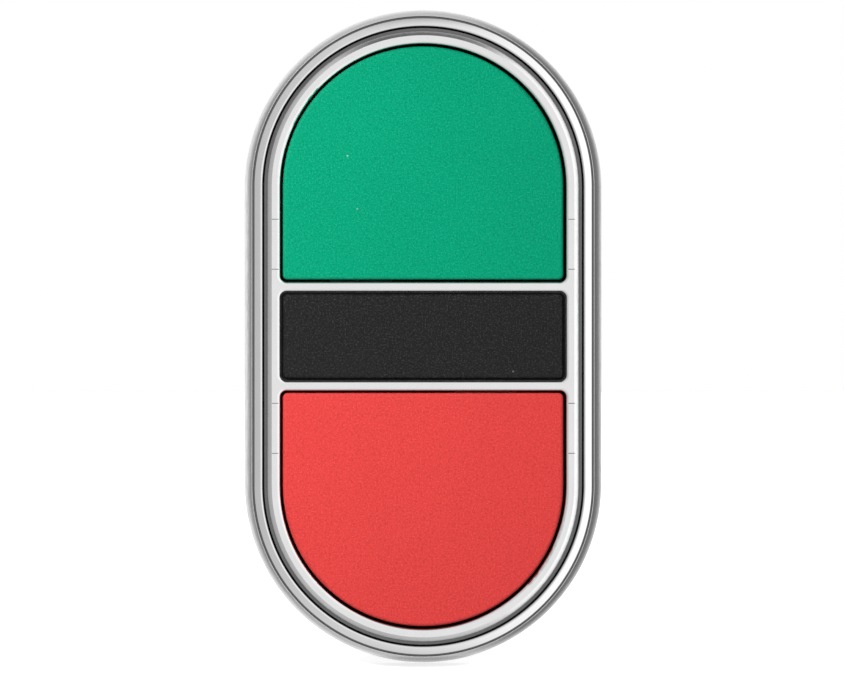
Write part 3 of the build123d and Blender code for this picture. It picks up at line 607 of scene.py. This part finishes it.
def lever_grip():
    """Ridges on the outer face of the bayonet lever's tab, at the lever's own angle and reach."""
    rear = in_mm("lock_lever")[1][1]
    angle = math.radians(LEVER_ANGLE)
    out = Vector((math.cos(angle), 0, math.sin(angle)))
    up = Vector((-math.sin(angle), 0, math.cos(angle)))
    turn = Matrix((out, Vector((0, 1, 0)), up)).transposed().to_4x4()
    spans = []
    for i in range(LEVER_RIDGES):
        y = rear - LEVER_RIDGE_PITCH * i
        spans.append(((-0.2, 0.22), (y - 1.0, y - 0.5), (-1.3, 1.3)))
    place = Matrix.Translation(out * LEVER_REACH * MM) @ turn
    ribs("lock_lever_grip", spans, "lock_lever", "lever_plastic", place=place)


for side, sign in (("left", -1), ("right", 1)):
    cover_low, cover_high = in_mm(f"{side}_cover")
    block_side(side, sign, cover_high[2])
    cover_back(side, cover_low, cover_high)
    latch_grip(side)
lever_grip()


# ---------------------------------------------------------------- screw threads

PITCH = 0.5
THREAD_DEPTH = 0.08
THREAD_STEPS = 28
RUN_IN = 0.35
THREAD_GAP = 0.1
SHANK = 1.5
CLAMP_HEAD = 2.1
# The ridge's section: out from the shank in millimetres, and along it in shares of the pitch
THREAD_SECTION = ((-0.05, -0.27), (THREAD_DEPTH, -0.036), (THREAD_DEPTH, 0.036), (-0.05, 0.27))


def thread(name, node, body, front, rear):
    """A helical ridge on a screw's shank, from front to rear, fading out at both ends."""
    low, high = in_mm(node)
    x, z = (low[0] + high[0]) / 2, (low[2] + high[2]) / 2
    turns = (rear - front) / PITCH
    steps = int(turns * THREAD_STEPS)
    verts = []
    for i in range(steps + 1):
        a = 2 * math.pi * turns * i / steps
        y = front + PITCH * (RUN_IN + (turns - 2 * RUN_IN) * i / steps)
        fade = min(1.0, 3 * i / THREAD_STEPS, 3 * (steps - i) / THREAD_STEPS)
        for out, along in THREAD_SECTION:
            r = SHANK + (out if out < 0 else out * fade)
            point = (x + r * math.cos(a), y + along * PITCH, z + r * math.sin(a))
            verts.append(tuple(c * MM for c in point))
    columns = len(THREAD_SECTION)
    faces = quads(steps + 1, columns, False, True) + end_faces(steps + 1, columns)
    return new_piece(name, verts, faces, body, "plated_screw", 20)


for place in ("upper", "lower"):
    node = f"clamp_screw_{place}"
    pad_rear = in_mm(f"clamp_pad_{place}")[1][1]
    thread(f"{node}_thread", node, node, pad_rear + THREAD_GAP, in_mm(node)[1][1] - CLAMP_HEAD)
    for side in ("left", "right"):
        node = f"{side}_terminal_screw_{place}"
        plate_front = in_mm(f"{side}_clamp_plate_{place}")[0][1]
        thread(f"{node}_thread", node, f"{side}_screw_{place}",
               in_mm(node)[0][1] + THREAD_GAP, plate_front - THREAD_GAP)


# ---------------------------------------------------------------- floor, light and camera

lo = cad_box[0]
FLOOR_HALF = 3000 * MM
FLOOR_DROP = 0.1 * MM
FLOOR_GLOW = 0.74
CAMERA_DISTANCE = 600 * MM
VIEW_WIDTH = 69.88 * MM
AIM_X = -0.09 * MM
AIM_Z = -0.10 * MM
SENSOR = 36.0

bm = bmesh.new()
bmesh.ops.create_grid(bm, x_segments=1, y_segments=1, size=FLOOR_HALF)
mesh = bpy.data.meshes.new("floor")
bm.to_mesh(mesh)
bm.free()
floor = bpy.data.objects.new("floor", mesh)
floor.location = (0, 0, lo.z - FLOOR_DROP)
bpy.context.scene.collection.objects.link(floor)
floor_finish = Finish("floor_paper", Roughness=0.9, Specular_IOR_Level=0.1)
floor_finish.colour(floor_finish.blend(floor_finish.noise(4.0, 3.0), (0.93, 0.93, 0.93), (0.95, 0.95, 0.95)))
floor_finish.shader.inputs["Emission Color"].default_value = (1, 1, 1, 1)
floor_finish.shader.inputs["Emission Strength"].default_value = FLOOR_GLOW
floor.data.materials.append(floor_finish.mat)
floor.visible_glossy = False
floor.visible_diffuse = False

world = bpy.data.worlds.new("studio")
bpy.context.scene.world = world
world.use_nodes = True
tree = world.node_tree
tree.nodes.clear()


def world_node(kind, **inputs):
    """A node in the world's tree, each input a value or a socket."""
    node = tree.nodes.new(kind)
    for key, value in inputs.items():
        if isinstance(value, bpy.types.NodeSocket):
            tree.links.new(value, node.inputs[key])
        else:
            node.inputs[key].default_value = value
    return node


def world_math(operation, first, second):
    """The result of a sum in the world's tree."""
    node = tree.nodes.new("ShaderNodeMath")
    node.operation = operation
    for slot, value in zip(node.inputs, (first, second)):
        if isinstance(value, bpy.types.NodeSocket):
            tree.links.new(value, slot)
        else:
            slot.default_value = value
    return node.outputs[0]


def step(value, low, high):
    """A smooth step from 0 at low to 1 at high."""
    node = tree.nodes.new("ShaderNodeMapRange")
    node.interpolation_type = "SMOOTHSTEP"
    tree.links.new(value, node.inputs["Value"])
    node.inputs["From Min"].default_value = low
    node.inputs["From Max"].default_value = high
    return node.outputs["Result"]


# The surroundings' brightness by direction: x to the right, y away from the camera, z up
FRONT_LEVEL = 0.91
FRONT_SLOPE = 0.40
TOP_DARKENING = 0.82
FLOOR_DARKENING = 0.30
BEHIND_LEVEL = 0.14
CARD_LEVEL = 0.93
CARD_LEAN = 0.035
ABOVE_LEVEL = 0.62
SIDES_LEVEL = 0.45

direction = world_node("ShaderNodeTexCoord").outputs["Generated"]
split = world_node("ShaderNodeSeparateXYZ", Vector=direction)
x, y, z = split.outputs
front = step(y, 0.62, 0.36)
side = world_math("ADD", world_math("MULTIPLY", x, FRONT_SLOPE), FRONT_LEVEL)
dark_top = world_math("SUBTRACT", 1.0, world_math("MULTIPLY", step(z, 0.80, 0.96), TOP_DARKENING))
dim_floor = world_math("SUBTRACT", 1.0, world_math("MULTIPLY", step(z, -0.75, -0.97), FLOOR_DARKENING))
front_light = world_math("MULTIPLY", world_math("MULTIPLY", side, dark_top), dim_floor)
rise = world_math("ABSOLUTE", z, 0.0)
above = world_math("MULTIPLY", step(rise, 0.18, 0.30), step(x, 0.24, 0.06))
near_axis = world_math("SUBTRACT", y, world_math("MULTIPLY", x, CARD_LEAN))
white_card = world_math("MULTIPLY", step(near_axis, 0.962, 0.991), CARD_LEVEL)
behind = world_math("MAXIMUM", world_math("ADD", BEHIND_LEVEL, white_card),
                    world_math("MULTIPLY", above, ABOVE_LEVEL))
sides = world_math("MULTIPLY", step(y, 0.90, 0.62), SIDES_LEVEL)
behind = world_math("MAXIMUM", behind, sides)
light = world_math("ADD", world_math("MULTIPLY", front, front_light),
                   world_math("MULTIPLY", world_math("SUBTRACT", 1.0, front), behind))

# The camera sees plain white
seen = world_node("ShaderNodeLightPath").outputs["Is Camera Ray"]
strength = world_math("ADD", world_math("MULTIPLY", light, world_math("SUBTRACT", 1.0, seen)), seen)
surface = world_node("ShaderNodeBackground", Color=(1, 1, 1, 1), Strength=strength)
output = world_node("ShaderNodeOutputWorld")
tree.links.new(surface.outputs["Background"], output.inputs["Surface"])


def soft_light(name, place, target, size, power, glossy=True, diffuse=True):
    """An area light that the camera doesn't see."""
    data = bpy.data.lights.new(name, "AREA")
    data.size = size
    data.energy = power
    lamp = bpy.data.objects.new(name, data)
    lamp.location = place
    lamp.rotation_euler = (Vector(target) - Vector(place)).to_track_quat("-Z", "Y").to_euler()
    lamp.visible_camera = False
    lamp.visible_glossy = glossy
    lamp.visible_diffuse = diffuse
    bpy.context.scene.collection.objects.link(lamp)


# Places and sizes in metres, powers in watts
LEFT_PLACE = (-0.055, -0.085, 0.035)
LEFT_TARGET = (0, -0.01, 0)
LEFT_SIZE = 0.03
REAR_PLACE = (0.16, 0.34, 0.48)
REAR_TARGET = (0, 0.02, 0)
REAR_SIZE = 0.30
soft_light("left_glow", LEFT_PLACE, LEFT_TARGET, LEFT_SIZE, 0.12, glossy=False)
soft_light("left_sheen", LEFT_PLACE, LEFT_TARGET, LEFT_SIZE, 0.012, diffuse=False)
soft_light("rear_fill", REAR_PLACE, REAR_TARGET, REAR_SIZE, 0.9, glossy=False)

camera = bpy.data.objects.new("camera", bpy.data.cameras.new("camera"))
bpy.context.scene.collection.objects.link(camera)
camera.data.sensor_width = SENSOR
camera.data.lens = SENSOR * CAMERA_DISTANCE / VIEW_WIDTH
camera.data.clip_start = 10 * MM
camera.data.clip_end = 20000 * MM
camera.location = (AIM_X, lo.y - CAMERA_DISTANCE, AIM_Z)
camera.rotation_euler = (math.radians(90), 0, 0)
bpy.context.scene.camera = camera
bpy.context.scene.view_settings.view_transform = "Standard"
